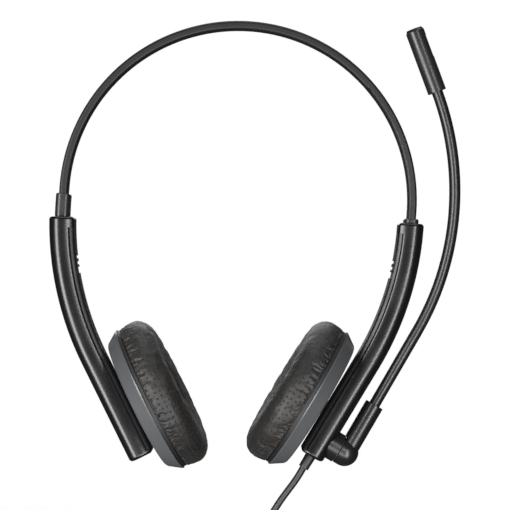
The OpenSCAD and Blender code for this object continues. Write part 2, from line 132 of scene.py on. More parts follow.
cordValues = {
    "diameter": 0.0028,
    "steps": 4,
    "roundness": 4,
    "lead": [
        (0.0338, 0, -0.1725), (0.0324, 0, -0.1754), (0.0306, 0, -0.1786), (0.0283, 0, -0.1822),
        (0.0258, 0, -0.1862), (0.0234, 0, -0.1906), (0.0212, -0.0004, -0.1954), (0.019, -0.0016, -0.2002),
        (0.0162, -0.0038, -0.2048), (0.0126, -0.0068, -0.2086), (0.0084, -0.0096, -0.211),
        (0.004, -0.0114, -0.212), (0, -0.012, -0.2122),
    ],
    "tail": [
        (0, 0.03, -0.2206), (0.005, 0.0299, -0.2206), (0.01, 0.0295, -0.2206), (0.015, 0.0289, -0.2205),
        (0.02, 0.0284, -0.22), (0.025, 0.0281, -0.2191), (0.0295, 0.028, -0.2183), (0.034, 0.028, -0.218),
    ],
    "coilCentre": (0, 0.009, -0.222),
    "coilOuter": 7.5,
    "turnsInLayer": 3,
    "layers": 4,
    "pointsInTurn": 40,
}


# Catmull-Rom curve through the points
def smoothRoute(points, steps):
    points = [Vector(p) for p in points]
    last = len(points) - 1
    route = []
    for i in range(last):
        a, b, c, d = points[max(i - 1, 0)], points[i], points[i + 1], points[min(i + 2, last)]
        for k in range(steps):
            t = k / steps
            curve = 2 * b + (c - a) * t + (2 * a - 5 * b + 4 * c - d) * t ** 2 + (3 * b - a - 3 * c + d) * t ** 3
            route.append(curve / 2)
    return route + [points[-1]]


# layers of spirals, in and out by turns, with half a turn at the rim on the way down to the next layer
def coilRoute(values):
    d = values["diameter"]
    centre = Vector(values["coilCentre"])
    outer = values["coilOuter"] * d
    inner = outer - values["turnsInLayer"] * d
    perTurn = values["pointsInTurn"]
    layers = values["layers"]
    steps = []
    for layer in range(layers):
        start, end = (outer, inner) if layer % 2 == 0 else (inner, outer)
        height = (layers - layer - 0.5) * d
        turning = values["turnsInLayer"] * perTurn
        steps += [(start + (end - start) * k / turning, height) for k in range(turning)]
        if layer < layers - 1:
            falling = [k / (perTurn // 2) for k in range(perTurn // 2)]
            steps += [(end, height - d * s * s * (3 - 2 * s)) for s in falling]
    route = []
    for k, (r, height) in enumerate(steps):
        angle = -math.pi / 2 - 2 * math.pi * k / perTurn
        route.append(centre + Vector((r * math.cos(angle), r * math.sin(angle), height)))
    return route


def makeCord(values):
    lead = smoothRoute(values["lead"], values["steps"])
    tail = smoothRoute(values["tail"], values["steps"])
    route = lead[:-1] + coilRoute(values) + tail
    data = bpy.data.curves.new("cordRoute", "CURVE")
    data.dimensions = "3D"
    data.bevel_depth = values["diameter"] / 2
    data.bevel_resolution = values["roundness"]
    data.use_fill_caps = True
    spline = data.splines.new("POLY")
    spline.points.add(len(route) - 1)
    for point, place in zip(spline.points, route):
        point.co = (*place, 1)
    spline.use_smooth = True
    curve = link("cordRoute", data)
    bpy.context.view_layer.update()
    tube = bpy.data.meshes.new_from_object(curve.evaluated_get(bpy.context.evaluated_depsgraph_get()))
    bpy.data.objects.remove(curve)
    piece = link("cord", tube)
    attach(piece, "arm_right")
    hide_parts("cord_lead", "cord_coil", "cord_tail")
    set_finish(piece, "cord_jacket")
    length = sum((b - a).length for a, b in zip(route, route[1:]))
    print(f"cord: {length:.3f} m, {len(route)} points")
    return piece, route, length


cord, cordRoute, cordLength = makeCord(cordValues)


# cord tie: a hook-and-loop strap round the coil, its end lapped over on top

tieValues = {"turn": 200, "wide": 10, "thick": 0.8, "corner": 2.2, "lap": 7.5, "coilMiddle": 16.8, "coilSize": 11.2}


def makeTie(values):
    half = values["coilSize"] / 2
    bm = bmesh.new()
    low = values["thick"]
    corners = [(-half, low), (half, low), (half, 2 * half), (-half, 2 * half)]
    loop = [bm.verts.new((x + values["coilMiddle"], -values["wide"] / 2, z)) for x, z in corners]
    for a, b in zip(loop, loop[1:] + loop[:1]):
        bm.edges.new((a, b))
    bmesh.ops.bevel(bm, geom=loop, offset=values["corner"], affect="VERTICES", segments=6, profile=0.5,
                    material=-1)
    made = bmesh.ops.extrude_edge_only(bm, edges=bm.edges[:])["geom"]
    moved = [v for v in made if isinstance(v, bmesh.types.BMVert)]
    bmesh.ops.translate(bm, vec=(0, values["wide"], 0), verts=moved)
    bmesh.ops.recalc_face_normals(bm, faces=bm.faces)
    bmesh.ops.solidify(bm, geom=bm.faces[:], thickness=-values["thick"])
    lap = bmesh.ops.create_cube(bm, size=1)["verts"]
    bmesh.ops.scale(bm, vec=(values["lap"], values["wide"], values["thick"]), verts=lap)
    top = 2 * half + values["thick"] / 2
    bmesh.ops.translate(bm, vec=(values["coilMiddle"] + 0.4, 0, top), verts=lap)
    edges = [e for e in bm.edges if e.calc_length() > 6 and e.calc_face_angle(0) > 0.6]
    bmesh.ops.bevel(bm, geom=edges, offset=0.25, affect="EDGES", segments=2, profile=0.5, material=-1)
    place = Matrix.Translation(cordValues["coilCentre"]) @ Matrix.Rotation(math.radians(values["turn"]), 4, "Z")
    bm.transform(place @ Matrix.Scale(mm, 4))
    bmesh.ops.recalc_face_normals(bm, faces=bm.faces)
    piece = meshPiece("cordTie", bm)
    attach(piece, "arm_right")
    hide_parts("cord_tie")
    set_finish(piece, "cord_tie")
    return piece


cordTie = makeTie(tieValues)


# ear cushions: foam under leatherette, gathered into the seam at the back and dished towards the ear

cushionValues = {
    "seeds": {"right": 11, "left": 4},
    "steps": 180,
    "fine": 2,
    "profile": [
        (0, 23.7), (4, 23.75), (8, 24.0), (11, 24.35), (12.5, 24.6), (15, 25.1), (18, 25.7), (21, 26.1),
        (24, 26.2), (26.8, 25.6), (29, 24.3), (30.5, 22.5), (31.2, 20.4), (31.25, 18.3), (30.9, 16.3),
        (30.3, 15.0), (29.9, 14.65), (29.75, 15.6), (24, 15.6), (19.2, 15.6), (19.2, 17.5), (10, 17.5), (0, 17.5),
    ],
    "pinnedBelow": 15.7,
    "blowUp": 10,
    "pressure": 4,
    "frames": 20,
    "cap": 0.25,
    "rollCentre": (25.6, 20.2),
    "rollSize": 5.7,
    "seamAngle": -72,
    "gatherPitch": 1.6,
    "gatherDepth": 0.8,
    "crumple": 0.3,
    "wrinkle": 0.16,
    "weltRadius": 11.6,
    "weltDepth": 0.45,
}


# frame of a cup: origin where its axis meets the arm's centreline, +X up the arm, +Z towards the head
def cupAxes(side):
    swivel, tilt = joints["cup_swivel_" + side], joints["cup_tilt_" + side]
    inward = (Vector(tilt["pos_m"]) - Vector(swivel["pos_m"])).normalized()
    up = Vector(swivel["axis"]).normalized()
    turn = Matrix((up, inward.cross(up), inward)).transposed().to_4x4()
    return Matrix.Translation(Vector(swivel["pos_m"]) - inward * 0.8 * mm) @ turn


# closed form that a half outline makes about Z
def spun(points, steps):
    bm = bmesh.new()
    chain = [bm.verts.new((r, 0, z)) for r, z in points]
    edges = [bm.edges.new(pair) for pair in zip(chain, chain[1:])]
    bmesh.ops.spin(bm, geom=chain + edges, angle=2 * math.pi, steps=steps, use_merge=True, axis=(0, 0, 1),
                   cent=(0, 0, 0), dvec=(0, 0, 0))
    bmesh.ops.remove_doubles(bm, verts=bm.verts, dist=1e-4)
    bmesh.ops.recalc_face_normals(bm, faces=bm.faces)
    return bm


# foam fills the cover: a pressurised cloth, held where it tucks in behind the rim
def puffedForm(values):
    size = values["blowUp"] * mm
    bm = spun(values["profile"], values["steps"])
    bmesh.ops.scale(bm, vec=(size,) * 3, verts=bm.verts)
    piece = meshPiece("puff", bm)
    rest = [v.co.copy() for v in piece.data.vertices]
    held = piece.vertex_groups.new(name="held")
    held.add([v.index for v in piece.data.vertices if v.co.z < values["pinnedBelow"] * size], 1, "REPLACE")
    cloth = piece.modifiers.new("foam", "CLOTH")
    cloth.settings.quality = 6
    cloth.settings.mass = 0.2
    cloth.settings.tension_stiffness = 25
    cloth.settings.compression_stiffness = 25
    cloth.settings.bending_stiffness = 4
    cloth.settings.vertex_group_mass = held.name
    cloth.settings.use_pressure = True
    cloth.settings.uniform_pressure_force = values["pressure"]
    cloth.settings.effector_weights.gravity = 0
    cloth.collision_settings.use_collision = False
    cloth.point_cache.frame_end = values["frames"]
    for step in range(1, values["frames"] + 1):
        scene.frame_set(step)
    shown = piece.evaluated_get(bpy.context.evaluated_depsgraph_get()).data
    puffed = [v.co.copy() for v in shown.vertices]
    piece.modifiers.remove(cloth)
    cap = values["cap"] * size
    for vertex, start, end in zip(piece.data.vertices, rest, puffed):
        move = end - start
        vertex.co = start + move * min(1, cap / max(move.length, 1e-9))
    scene.frame_set(1)
    piece.data.transform(Matrix.Scale(1 / size, 4))
    smoother = piece.modifiers.new("smoother", "SUBSURF")
    smoother.levels = smoother.render_levels = values["fine"]
    data = bpy.data.meshes.new_from_object(piece.evaluated_get(bpy.context.evaluated_depsgraph_get()))
    bpy.data.objects.remove(piece)
    return data


# the gathers round the seam, each with its own place, slant, length and depth
def drawGathers(values, seed):
    draw = random.Random(seed)
    girth = 2 * math.pi * values["profile"][13][0]
    count = round(girth / values["gatherPitch"])
    gathers = []
    for k in range(count):
        long = draw.random() < 0.22
        gathers.append({
            "place": (k + draw.uniform(-0.32, 0.32)) * girth / count,
            "slant": draw.uniform(-0.32, 0.32),
            "length": draw.uniform(7.5, 11.5) if long else draw.uniform(3.4, 6.6),
            "depth": values["gatherDepth"] * draw.uniform(0.45, 1),
            "width": draw.uniform(0.22, 0.4),
        })
    return gathers, girth


def makeCushion(side, form, values):
    data = form.copy()
    gathers, girth = drawGathers(values, values["seeds"][side])
    bins = [[] for _ in range(len(gathers))]
    for gather in gathers:
        bins[int(gather["place"] / girth * len(bins)) % len(bins)].append(gather)
    centreR, centreZ = values["rollCentre"]
    seam = math.radians(values["seamAngle"])
    drift = Vector((values["seeds"][side] * 31.7, 0, 0))
    along = []
    data.update()
    normals = [v.normal.copy() for v in data.vertices]
    for vertex, normal in zip(data.vertices, normals):
        x, y, z = vertex.co
        r = math.hypot(x, y)
        roll = math.atan2(z - centreZ, r - centreR)
        above = (roll - seam) * values["rollSize"]
        onSide = r > centreR - 1 and above > -0.4
        place = (math.atan2(y, x) / (2 * math.pi) % 1) * girth
        along.append((place, above, onSide and roll < math.pi / 2))
        sink = 0
        if onSide:
            middle = int(place / girth * len(bins))
            for near in (middle - 1, middle, middle + 1):
                for gather in bins[near % len(bins)]:
                    aside = place - gather["place"] - gather["slant"] * above
                    aside -= 0.25 * math.sin(above * 1.7 + gather["place"])
                    aside = (aside + girth / 2) % girth - girth / 2
                    reach = max(0, 1 - max(above, 0) / gather["length"])
                    width = gather["width"] * (1 + 0.12 * max(above, 0))
                    rise = min(1, 0.45 + max(above, 0) * 0.5)
                    sink += gather["depth"] * rise * reach ** 0.8 * math.exp(-(aside / width) ** 2)
        if z > values["pinnedBelow"]:
            sink += values["crumple"] * (noise.noise(vertex.co * 0.22 + drift) + 0.35)
            sink += values["wrinkle"] * (noise.noise(vertex.co * 0.55 + drift) + 0.2)
            if r < centreR:
                welt = (r - values["weltRadius"]) / 0.5
                sink += values["weltDepth"] * math.exp(-welt * welt)
                pucker = math.cos(math.atan2(y, x) * 48) * 0.5 + 0.5
                sink += 0.1 * pucker * math.exp(-((r - values["weltRadius"]) / 1.6) ** 2)
        vertex.co -= normal * max(sink, 0)
    layer = data.uv_layers.new(name="leatherMm")
    for polygon in data.polygons:
        corners = [data.loops[i].vertex_index for i in polygon.loop_indices]
        rolled = all(along[c][2] for c in corners)
        first = along[corners[0]][0]
        for loopIndex, corner in zip(polygon.loop_indices, corners):
            place, above, _ = along[corner]
            if rolled:
                place += girth * round((first - place) / girth)
                layer.data[loopIndex].uv = (place, above)
            else:
                layer.data[loopIndex].uv = data.vertices[corner].co.xy
    data.transform(cupAxes(side) @ Matrix.Scale(mm, 4))
    data.polygons.foreach_set("use_smooth", [True] * len(data.polygons))
    piece = link("earCushion_" + side, data)
    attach(piece, "cup_" + side)
    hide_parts("ear_cushion_" + side)
    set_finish(piece, "cushion_leather")
    return piece


cushionForm = puffedForm(cushionValues)
cushions = [makeCushion(side, cushionForm, cushionValues) for side in ("right", "left")]
print("ear cushions:", len(cushionForm.vertices), "vertices each")


# arms: a shell and an ear-side cover swept along the arm, which is straight beside the cup and curved above it

armValues = {
    "cupHeight": 19, "straight": 43.6, "radius": 121, "turn": 27.7,
    "halfThick": 5.05, "halfWide": 7, "outerRound": 4.4, "earRound": 1.4, "crown": 11, "crownShift": 0.3,
    "split": 3.2, "seam": 0.28, "capTurn": 2.1, "footHigh": 1.6, "gap": 0.09, "endRound": 1.25,
    "footLow": 0.001, "arcStep": 0.75, "arcPoints": (8, 14, 16), "clear": 0.1, "sharpAngle": 32,
    # the slider's mouth and channel: distances from the middle, half width, turns from and to
    "mouth": ((-3.15, 3.15), 4.65, (23.5, 28.7)), "channel": ((-4.2, 1.35), 4.25, (2.4, 25.7)),
    # the swivel pin's pocket: middle and size
    "pocket": ((0, 0, 2.6), (12.4, 6.2, 9)),
    # round holes: radius, length, middle, and the way they run
    "bores": [(0.82, 18.6, (0.4, 0, 0.8), "X"), (0.62, 3.4, (12.6, 0, 2.5), "Z"),
              (0.62, 3.4, (20.6, 0, 2.5), "Z")],
    "boomBores": [(1.1, 14, (-11, 0, 0), "Z"), (2.4, 3.4, (-11, 0, 2.3), "Z"),
                  (2.25, 4, (-18, 0, 0), "X"), (2.9, 2.7, (-16.05, 0, 0.2), "X")],
    "notches": [(7.2, 1.2), (8.4, 1.2), (9.8, 2.6)], "notchDeep": 0.6, "notchReach": 0.6,
    "notchWall": 0.0006, "armTop": -0.7,
    "screws": (31.6, 39.6), "screwRound": 2.15, "screwDeep": 0.9, "window": (7.2, 6.8, 9),
}


# half of the arm's outline from the ear side to the outside, from or up to the seam between shell and cover
def halfOutline(values, start=None, end=None):
    thick, wide, crown = values["halfThick"], values["halfWide"], values["crown"]
    shift = values["crownShift"]
    faceZ = wide - crown
    circles = []
    for size, x in ((values["earRound"], values["earRound"] - thick),
                    (values["outerRound"], thick - values["outerRound"])):
        lift = math.sqrt((crown - size) ** 2 - (x - shift) ** 2)
        circles.append((size, x, faceZ + lift, math.atan2(lift, x - shift)))
    (earR, earX, earY, earTurn), (outR, outX, outY, outTurn) = circles
    earSteps, faceSteps, outSteps = values["arcPoints"]
    points = []
    for k in range(earSteps):
        turn = math.pi + (earTurn - math.pi) * k / earSteps
        points.append((earX + earR * math.cos(turn), earY + earR * math.sin(turn)))
    for k in range(faceSteps):
        turn = earTurn + (outTurn - earTurn) * k / faceSteps
        points.append((shift + crown * math.cos(turn), faceZ + crown * math.sin(turn)))
    for k in range(outSteps + 1):
        turn = outTurn * (1 - k / outSteps)
        points.append((outX + outR * math.cos(turn), outY + outR * math.sin(turn)))
    if start is None and end is None:
        return points
    edge = start if end is None else end
    faceY = faceZ + math.sqrt(crown ** 2 - (edge - shift) ** 2)
    clear = values["clear"]
    seamPoint = (-values["split"], faceY - values["seam"])
    if end is None:
        return [seamPoint, (edge, faceY)] + [p for p in points if p[0] > edge + clear]
    return [p for p in points if p[0] < edge - clear] + [(edge, faceY), seamPoint]


# closed loop of both halves, mirrored front to back
def wholeOutline(half):
    return half + [(x, -y) for x, y in reversed(half)]


# place of an outline's point, by its height on the straight part or its turn on the curve
def armPoint(values, x, y, turn=0, height=0):
    if height:
        return Vector((height - values["cupHeight"], y, -x))
    reach = values["radius"] + x
    bend = values["straight"] - values["cupHeight"]
    return Vector((bend + reach * math.sin(turn), y, values["radius"] - reach * math.cos(turn)))


# one closed stretch of an outline: from a height on the straight part, or a turn on the curve, to a turn
def sweep(bm, values, outline, heightFrom, turnFrom, turnTo, heightTo=0, roundFoot=False, roundTop=False,
          notches=()):
    low = values["straight"] if heightFrom is None else heightFrom
    height = 0 if heightFrom is None else low
    first = [bm.verts.new(armPoint(values, x, y, turnFrom, height)) for x, y in outline]
    loop = [bm.edges.new(pair) for pair in zip(first, first[1:] + first[:1])]
    startFace = bm.faces.new(reversed(first))
    if heightFrom is not None:
        top = heightTo or values["straight"]
        made = bmesh.ops.extrude_edge_only(bm, edges=loop)["geom"]
        verts = [g for g in made if isinstance(g, bmesh.types.BMVert)]
        bmesh.ops.translate(bm, vec=(top - low, 0, 0), verts=verts)
        loop = [e for e in made if isinstance(e, bmesh.types.BMEdge) and all(v in set(verts) for v in e.verts)]
    if not heightTo:
        centre = (values["straight"] - values["cupHeight"], 0, values["radius"])
        wall = values["notchWall"]
        stations = sorted({turnTo} | {t for a, b in notches for t in (a, a + wall, b - wall, b)})
        at = turnFrom
        for station in stations:
            verts = list({v for e in loop for v in e.verts})
            steps = max(1, round((station - at) / math.radians(values["arcStep"])))
            made = bmesh.ops.spin(bm, geom=verts + loop, cent=centre, axis=(0, -1, 0), dvec=(0, 0, 0),
                                  angle=station - at, steps=steps, use_merge=False)["geom_last"]
            loop = [e for e in made if isinstance(e, bmesh.types.BMEdge)]
            at = station
    verts = {v for e in loop for v in e.verts}
    bmesh.ops.contextual_create(bm, geom=loop)
    bmesh.ops.recalc_face_normals(bm, faces=bm.faces)
    rounded = []
    if roundFoot:
        rounded += startFace.edges[:]
    if roundTop:
        rounded += [e for e in bm.edges if all(v in verts for v in e.verts)]
    if rounded:
        bmesh.ops.bevel(bm, geom=list(set(rounded)), offset=values["endRound"], affect="EDGES", segments=5,
                        profile=0.5, material=-1, clamp_overlap=True)


# takes tools out of a closed form one after another, and hands back its mesh
def cutAway(name, bm, tools):
    piece = meshPiece(name, bm)
    helpers = [meshPiece("tool", tool) for tool in tools]
    for helper in helpers:
        cut = piece.modifiers.new("cut", "BOOLEAN")
        cut.object = helper
        cut.solver = "EXACT"
    data = bpy.data.meshes.new_from_object(piece.evaluated_get(bpy.context.evaluated_depsgraph_get()))
    for used in (piece, *helpers):
        bpy.data.objects.remove(used)
    return data


def boreTool(radius, length, middle, way):
    tool = bmesh.new()
    turn = Matrix.Rotation(math.radians(90), 4, "Y") if way == "X" else Matrix.Identity(4)
    bmesh.ops.create_cone(tool, cap_ends=True, segments=32, radius1=radius, radius2=radius, depth=length,
                          matrix=Matrix.Translation(middle) @ turn)
    return tool


def boxTool(middle, size):
    tool = bmesh.new()
    bmesh.ops.create_cube(tool, size=1, matrix=Matrix.Translation(middle) @ Matrix.Diagonal((*size, 1)))
    return tool


# what is hollow in an arm's shell: the slider's way, the swivel pin's seat, screw holes, and on the right
# the boom's holes
def shellTools(side, values):
    tools = []
    for (near, far), half, (start, end) in (values["mouth"], values["channel"]):
        tool = bmesh.new()
        outline = [(near, -half), (near, half), (far, half), (far, -half)]
        sweep(tool, values, outline, None, math.radians(start), math.radians(end))
        tools.append(tool)
    tools.append(boxTool(*values["pocket"]))
    bores = values["bores"] + (values["boomBores"] if side == "right" else [])
    return tools + [boreTool(*bore) for bore in bores]


# shell in three closed stretches, cap, body and foot, and the cover with its notches
def armPieces(side, values):
    cap = math.radians(values["turn"] - values["capTurn"])
    top = math.radians(values["turn"])
    whole = wholeOutline(halfOutline(values))
    shell = bmesh.new()
    split = wholeOutline(halfOutline(values, start=values["seam"] - values["split"]))
    for outline, kind in ((whole, "cap"), (split, "body"), (whole, "foot")):
        part = bmesh.new()
        if kind == "cap":
            sweep(part, values, outline, None, cap, top, roundTop=True)
        elif kind == "body":
            sweep(part, values, outline, values["footHigh"], 0, cap)
        else:
            sweep(part, values, outline, values["footLow"], 0, 0, heightTo=values["footHigh"], roundFoot=True)
        data = cutAway("stretch", part, shellTools(side, values))
        shell.from_mesh(data)
        bpy.data.meshes.remove(data)
    cover = bmesh.new()
    notches = []
    for middle, wide in values["notches"]:
        at = math.radians(values["turn"] + values["armTop"] - middle)
        half = wide / 2 / values["radius"]
        notches.append((at - half, at + half))
    notches.sort()
    outline = wholeOutline(halfOutline(values, end=-values["split"] - values["seam"]))
    gap = values["gap"]
    sweep(cover, values, outline, values["footHigh"] + gap, 0, cap - gap / values["radius"], notches=notches)
    centre = Vector((values["straight"] - values["cupHeight"], 0, values["radius"]))
    inset = values["notchWall"] / 2
    for vertex in cover.verts:
        away = vertex.co - centre
        turn = math.atan2(away.x, -away.z)
        out = math.hypot(away.x, away.z) - values["radius"]
        inNotch = any(a + inset < turn < b - inset for a, b in notches)
        if inNotch and out < values["notchReach"] - values["halfThick"]:
            aside = Vector((away.x, 0, away.z)).normalized()
            vertex.co += aside * values["notchDeep"]
    return shell, cover


def makeArm(side, values):
    shell, cover = armPieces(side, values)
    outside = values["halfThick"]
    tools = [boreTool(values["screwRound"], values["screwDeep"], (height - values["cupHeight"], 0, outside), "Z")
             for height in values["screws"]]
    tools.append(boxTool((0, 0, values["halfThick"]), values["window"]))
    place = cupAxes(side) @ Matrix.Scale(mm, 4)
    pieces = []
    for kind, form in (("Shell", shell), ("Cover", cover)):
        bmesh.ops.recalc_face_normals(form, faces=form.faces)
        name = "arm" + kind + "_" + side
        piece = link(name, cutAway(name, form, tools)) if kind == "Cover" else meshPiece(name, form)
        piece.data.transform(place)
        piece.data.polygons.foreach_set("use_smooth", [True] * len(piece.data.polygons))
        piece.data.set_sharp_from_angle(angle=math.radians(values["sharpAngle"]))
        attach(piece, "arm_" + side)
        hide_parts("arm_" + kind.lower() + "_" + side)
        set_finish(piece, "arm_gloss" if kind == "Shell" else "arm_cover")
        pieces.append(piece)
    return pieces


arms = [piece for side in ("right", "left") for piece in makeArm(side, armValues)]
print("arms:", [len(piece.data.polygons) for piece in arms])


# materials

def newMaterial(name, base, rough, **sockets):
    material = bpy.data.materials.new(name)
    material.use_nodes = True
    tree = material.node_tree
    shader = tree.nodes["Principled BSDF"]
    shader.inputs["Base Color"].default_value = colour(base)
    shader.inputs["Roughness"].default_value = rough
    for key, value in sockets.items():
        shader.inputs[key.replace("_", " ")].default_value = value
    return material, tree, shader


# Injection-moulded plastic: the mould's spark texture breaks the gloss into a fine grain, and handling
# leaves patches a little glossier than the rest. It serves ABS, polycarbonate, nylon and acetal alike.
def mouldedPlastic(name, base, rough, grain=0.35, relief=0.012, patches=0.05, **sockets):
    material, tree, shader = newMaterial(name, base, rough, **sockets)
    place = addNode(tree, "ShaderNodeTexCoord").outputs["Object"]
    spark = addNode(tree, "ShaderNodeTexNoise", {"Scale": 1 / (grain * mm), "Detail": 2}, {"Vector": place})
    bump = addNode(tree, "ShaderNodeBump", {"Strength": 0.5, "Distance": relief * mm},
                   {"Height": spark.outputs["Fac"]})
    handled = addNode(tree, "ShaderNodeTexNoise", {"Scale": 1 / (14 * mm), "Detail": 4}, {"Vector": place})
    polish = addNode(tree, "ShaderNodeMapRange", {"From Min": 0.3, "From Max": 0.7,
                                                  "To Min": rough - patches, "To Max": rough + patches},
                     {"Value": handled.outputs["Fac"]})
    tree.links.new(polish.outputs["Result"], shader.inputs["Roughness"])
    tree.links.new(bump.outputs["Normal"], shader.inputs["Normal"])
    return material


# Steel wire and strip: drawn through a die, so fine lines run one way.
def drawnSteel(name, base, rough, lineMm=0.25):
    material, tree, shader = newMaterial(name, base, rough, Metallic=1)
    place = addNode(tree, "ShaderNodeTexCoord").outputs["Object"]
    lines = addNode(tree, "ShaderNodeTexNoise", {"Scale": 1 / (lineMm * mm), "Detail": 3}, {"Vector": place})
    spread = addNode(tree, "ShaderNodeMapRange", {"To Min": rough * 0.7, "To Max": rough * 1.4},
                     {"Value": lines.outputs["Fac"]})
    tree.links.new(spread.outputs["Result"], shader.inputs["Roughness"])
    return material


# Perforated PU leatherette on foam: a soft sheen, a pebbled grain, pricked holes in rows about 2 mm apart.
# The holes are drawn half a millimetre wide, a little wider than real, so that they show.
def leatherette(name, base, holePitch=2.3, holeSize=0.36):
    material, tree, shader = newMaterial(name, base, 0.54, Sheen_Weight=0.05, Sheen_Roughness=0.4)
    place = addNode(tree, "ShaderNodeUVMap", {"uv_map": "leatherMm"}).outputs["UV"]
    holes = addNode(tree, "ShaderNodeTexVoronoi", {"Scale": 1 / holePitch, "Randomness": 0.32,
                                                   "voronoi_dimensions": "2D"}, {"Vector": place})
    inHole = addNode(tree, "ShaderNodeMapRange", {"From Min": holeSize * 0.55 / holePitch,
                                                  "From Max": holeSize * 1.25 / holePitch,
                                                  "To Min": 1, "To Max": 0}, {"Value": holes.outputs["Distance"]})
    grain = addNode(tree, "ShaderNodeTexVoronoi", {"Scale": 1 / 0.55, "voronoi_dimensions": "2D",
                                                   "feature": "DISTANCE_TO_EDGE"}, {"Vector": place})
    onPiece = addNode(tree, "ShaderNodeTexCoord").outputs["Object"]
    # brown patches scattered at random: painted warm light, the tint the lamps cast on the cushions, put into the
    # leather's colour
    paintedWarmPatches = addNode(tree, "ShaderNodeTexNoise", {"Scale": 1 / (9 * mm), "Detail": 5}, {"Vector": onPiece})
    tone = addNode(tree, "ShaderNodeValToRGB", links={"Fac": paintedWarmPatches.outputs["Fac"]})
    tone.color_ramp.elements[0].position, tone.color_ramp.elements[1].position = 0.35, 0.68
    tone.color_ramp.elements[0].color = colour(base)
    tone.color_ramp.elements[1].color = colour("#1c1815")
    mixed = addNode(tree, "ShaderNodeMix", {"data_type": "RGBA", 7: colour("#050505")},
                    {0: inHole.outputs["Result"], 6: tone.outputs["Color"]})
    tree.links.new(mixed.outputs[2], shader.inputs["Base Color"])
    pebble = addNode(tree, "ShaderNodeBump", {"Strength": 0.6, "Distance": 0.09 * mm},
                     {"Height": grain.outputs["Distance"]})
    pricked = addNode(tree, "ShaderNodeBump", {"Strength": 0.9, "Distance": 0.25 * mm, "invert": True},
                      {"Height": inHole.outputs["Result"], "Normal": pebble.outputs["Normal"]})
    tree.links.new(pricked.outputs["Normal"], shader.inputs["Normal"])
    return material


# PVC jacket: extruded, so it is smooth along the cord with a faint unevenness, and stays a little waxy.
def extrudedPvc(name, base):
    material, tree, shader = newMaterial(name, base, 0.42)
    place = addNode(tree, "ShaderNodeTexCoord").outputs["Object"]
    uneven = addNode(tree, "ShaderNodeTexNoise", {"Scale": 1 / (1.6 * mm), "Detail": 2}, {"Vector": place})
    bump = addNode(tree, "ShaderNodeBump", {"Strength": 0.3, "Distance": 0.05 * mm},
                   {"Height": uneven.outputs["Fac"]})
    tree.links.new(bump.outputs["Normal"], shader.inputs["Normal"])
    return material


# Hook-and-loop strap: the looped side is a fuzzy nylon knit, matt and slightly ribbed.
def loopStrap(name, base):
    material, tree, shader = newMaterial(name, base, 0.9, Sheen_Weight=0.5, Sheen_Roughness=0.6)
    place = addNode(tree, "ShaderNodeTexCoord").outputs["Object"]
    fuzz = addNode(tree, "ShaderNodeTexNoise", {"Scale": 1 / (0.5 * mm), "Detail": 4}, {"Vector": place})
    bump = addNode(tree, "ShaderNodeBump", {"Strength": 0.8, "Distance": 0.2 * mm},
                   {"Height": fuzz.outputs["Fac"]})
    tree.links.new(bump.outputs["Normal"], shader.inputs["Normal"])
    return material


# Woven acoustic cloth: a plain weave of 0.4 mm threads, dull black.
def wovenCloth(name, base, thread=0.4):
    material, tree, shader = newMaterial(name, base, 0.85)
    place = addNode(tree, "ShaderNodeTexCoord").outputs["Object"]
    weave = [addNode(tree, "ShaderNodeTexWave", {"Scale": 1 / (thread * mm) / 20, "bands_direction": way},
                     {"Vector": place}) for way in ("X", "Z")]
    crossed = addNode(tree, "ShaderNodeMath", {"operation": "MULTIPLY"},
                      {0: weave[0].outputs["Fac"], 1: weave[1].outputs["Fac"]})
    bump = addNode(tree, "ShaderNodeBump", {"Strength": 0.8, "Distance": 0.1 * mm},
                   {"Height": crossed.outputs["Value"]})
    tree.links.new(bump.outputs["Normal"], shader.inputs["Normal"])
    return material


# Gold-plated brass jack: three contacts with black insulator rings between them, turned smooth.
def jackMetal(name, base):
    material, tree, shader = newMaterial(name, base, 0.2, Metallic=1)
    low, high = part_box("plug_pin")
    place = addNode(tree, "ShaderNodeTexCoord").outputs["Object"]
    along = addNode(tree, "ShaderNodeSeparateXYZ", links={0: place}).outputs["X"]
    rings = None
    for ring in (4.6, 7.9):
        away = addNode(tree, "ShaderNodeMath", {"operation": "COMPARE", 1: low.x + ring * mm, 2: 0.45 * mm},
                       {0: along}).outputs["Value"]
        rings = away if rings is None else addNode(tree, "ShaderNodeMath", {"operation": "MAXIMUM"},
                                                   {0: rings, 1: away}).outputs["Value"]
    mixed = addNode(tree, "ShaderNodeMix", {"data_type": "RGBA", 6: colour(base), 7: colour("#101010")},
                    {0: rings})
    metal = addNode(tree, "ShaderNodeMath", {"operation": "SUBTRACT", 0: 1}, {1: rings})
    tree.links.new(mixed.outputs[2], shader.inputs["Base Color"])
    tree.links.new(metal.outputs["Value"], shader.inputs["Metallic"])
    return material


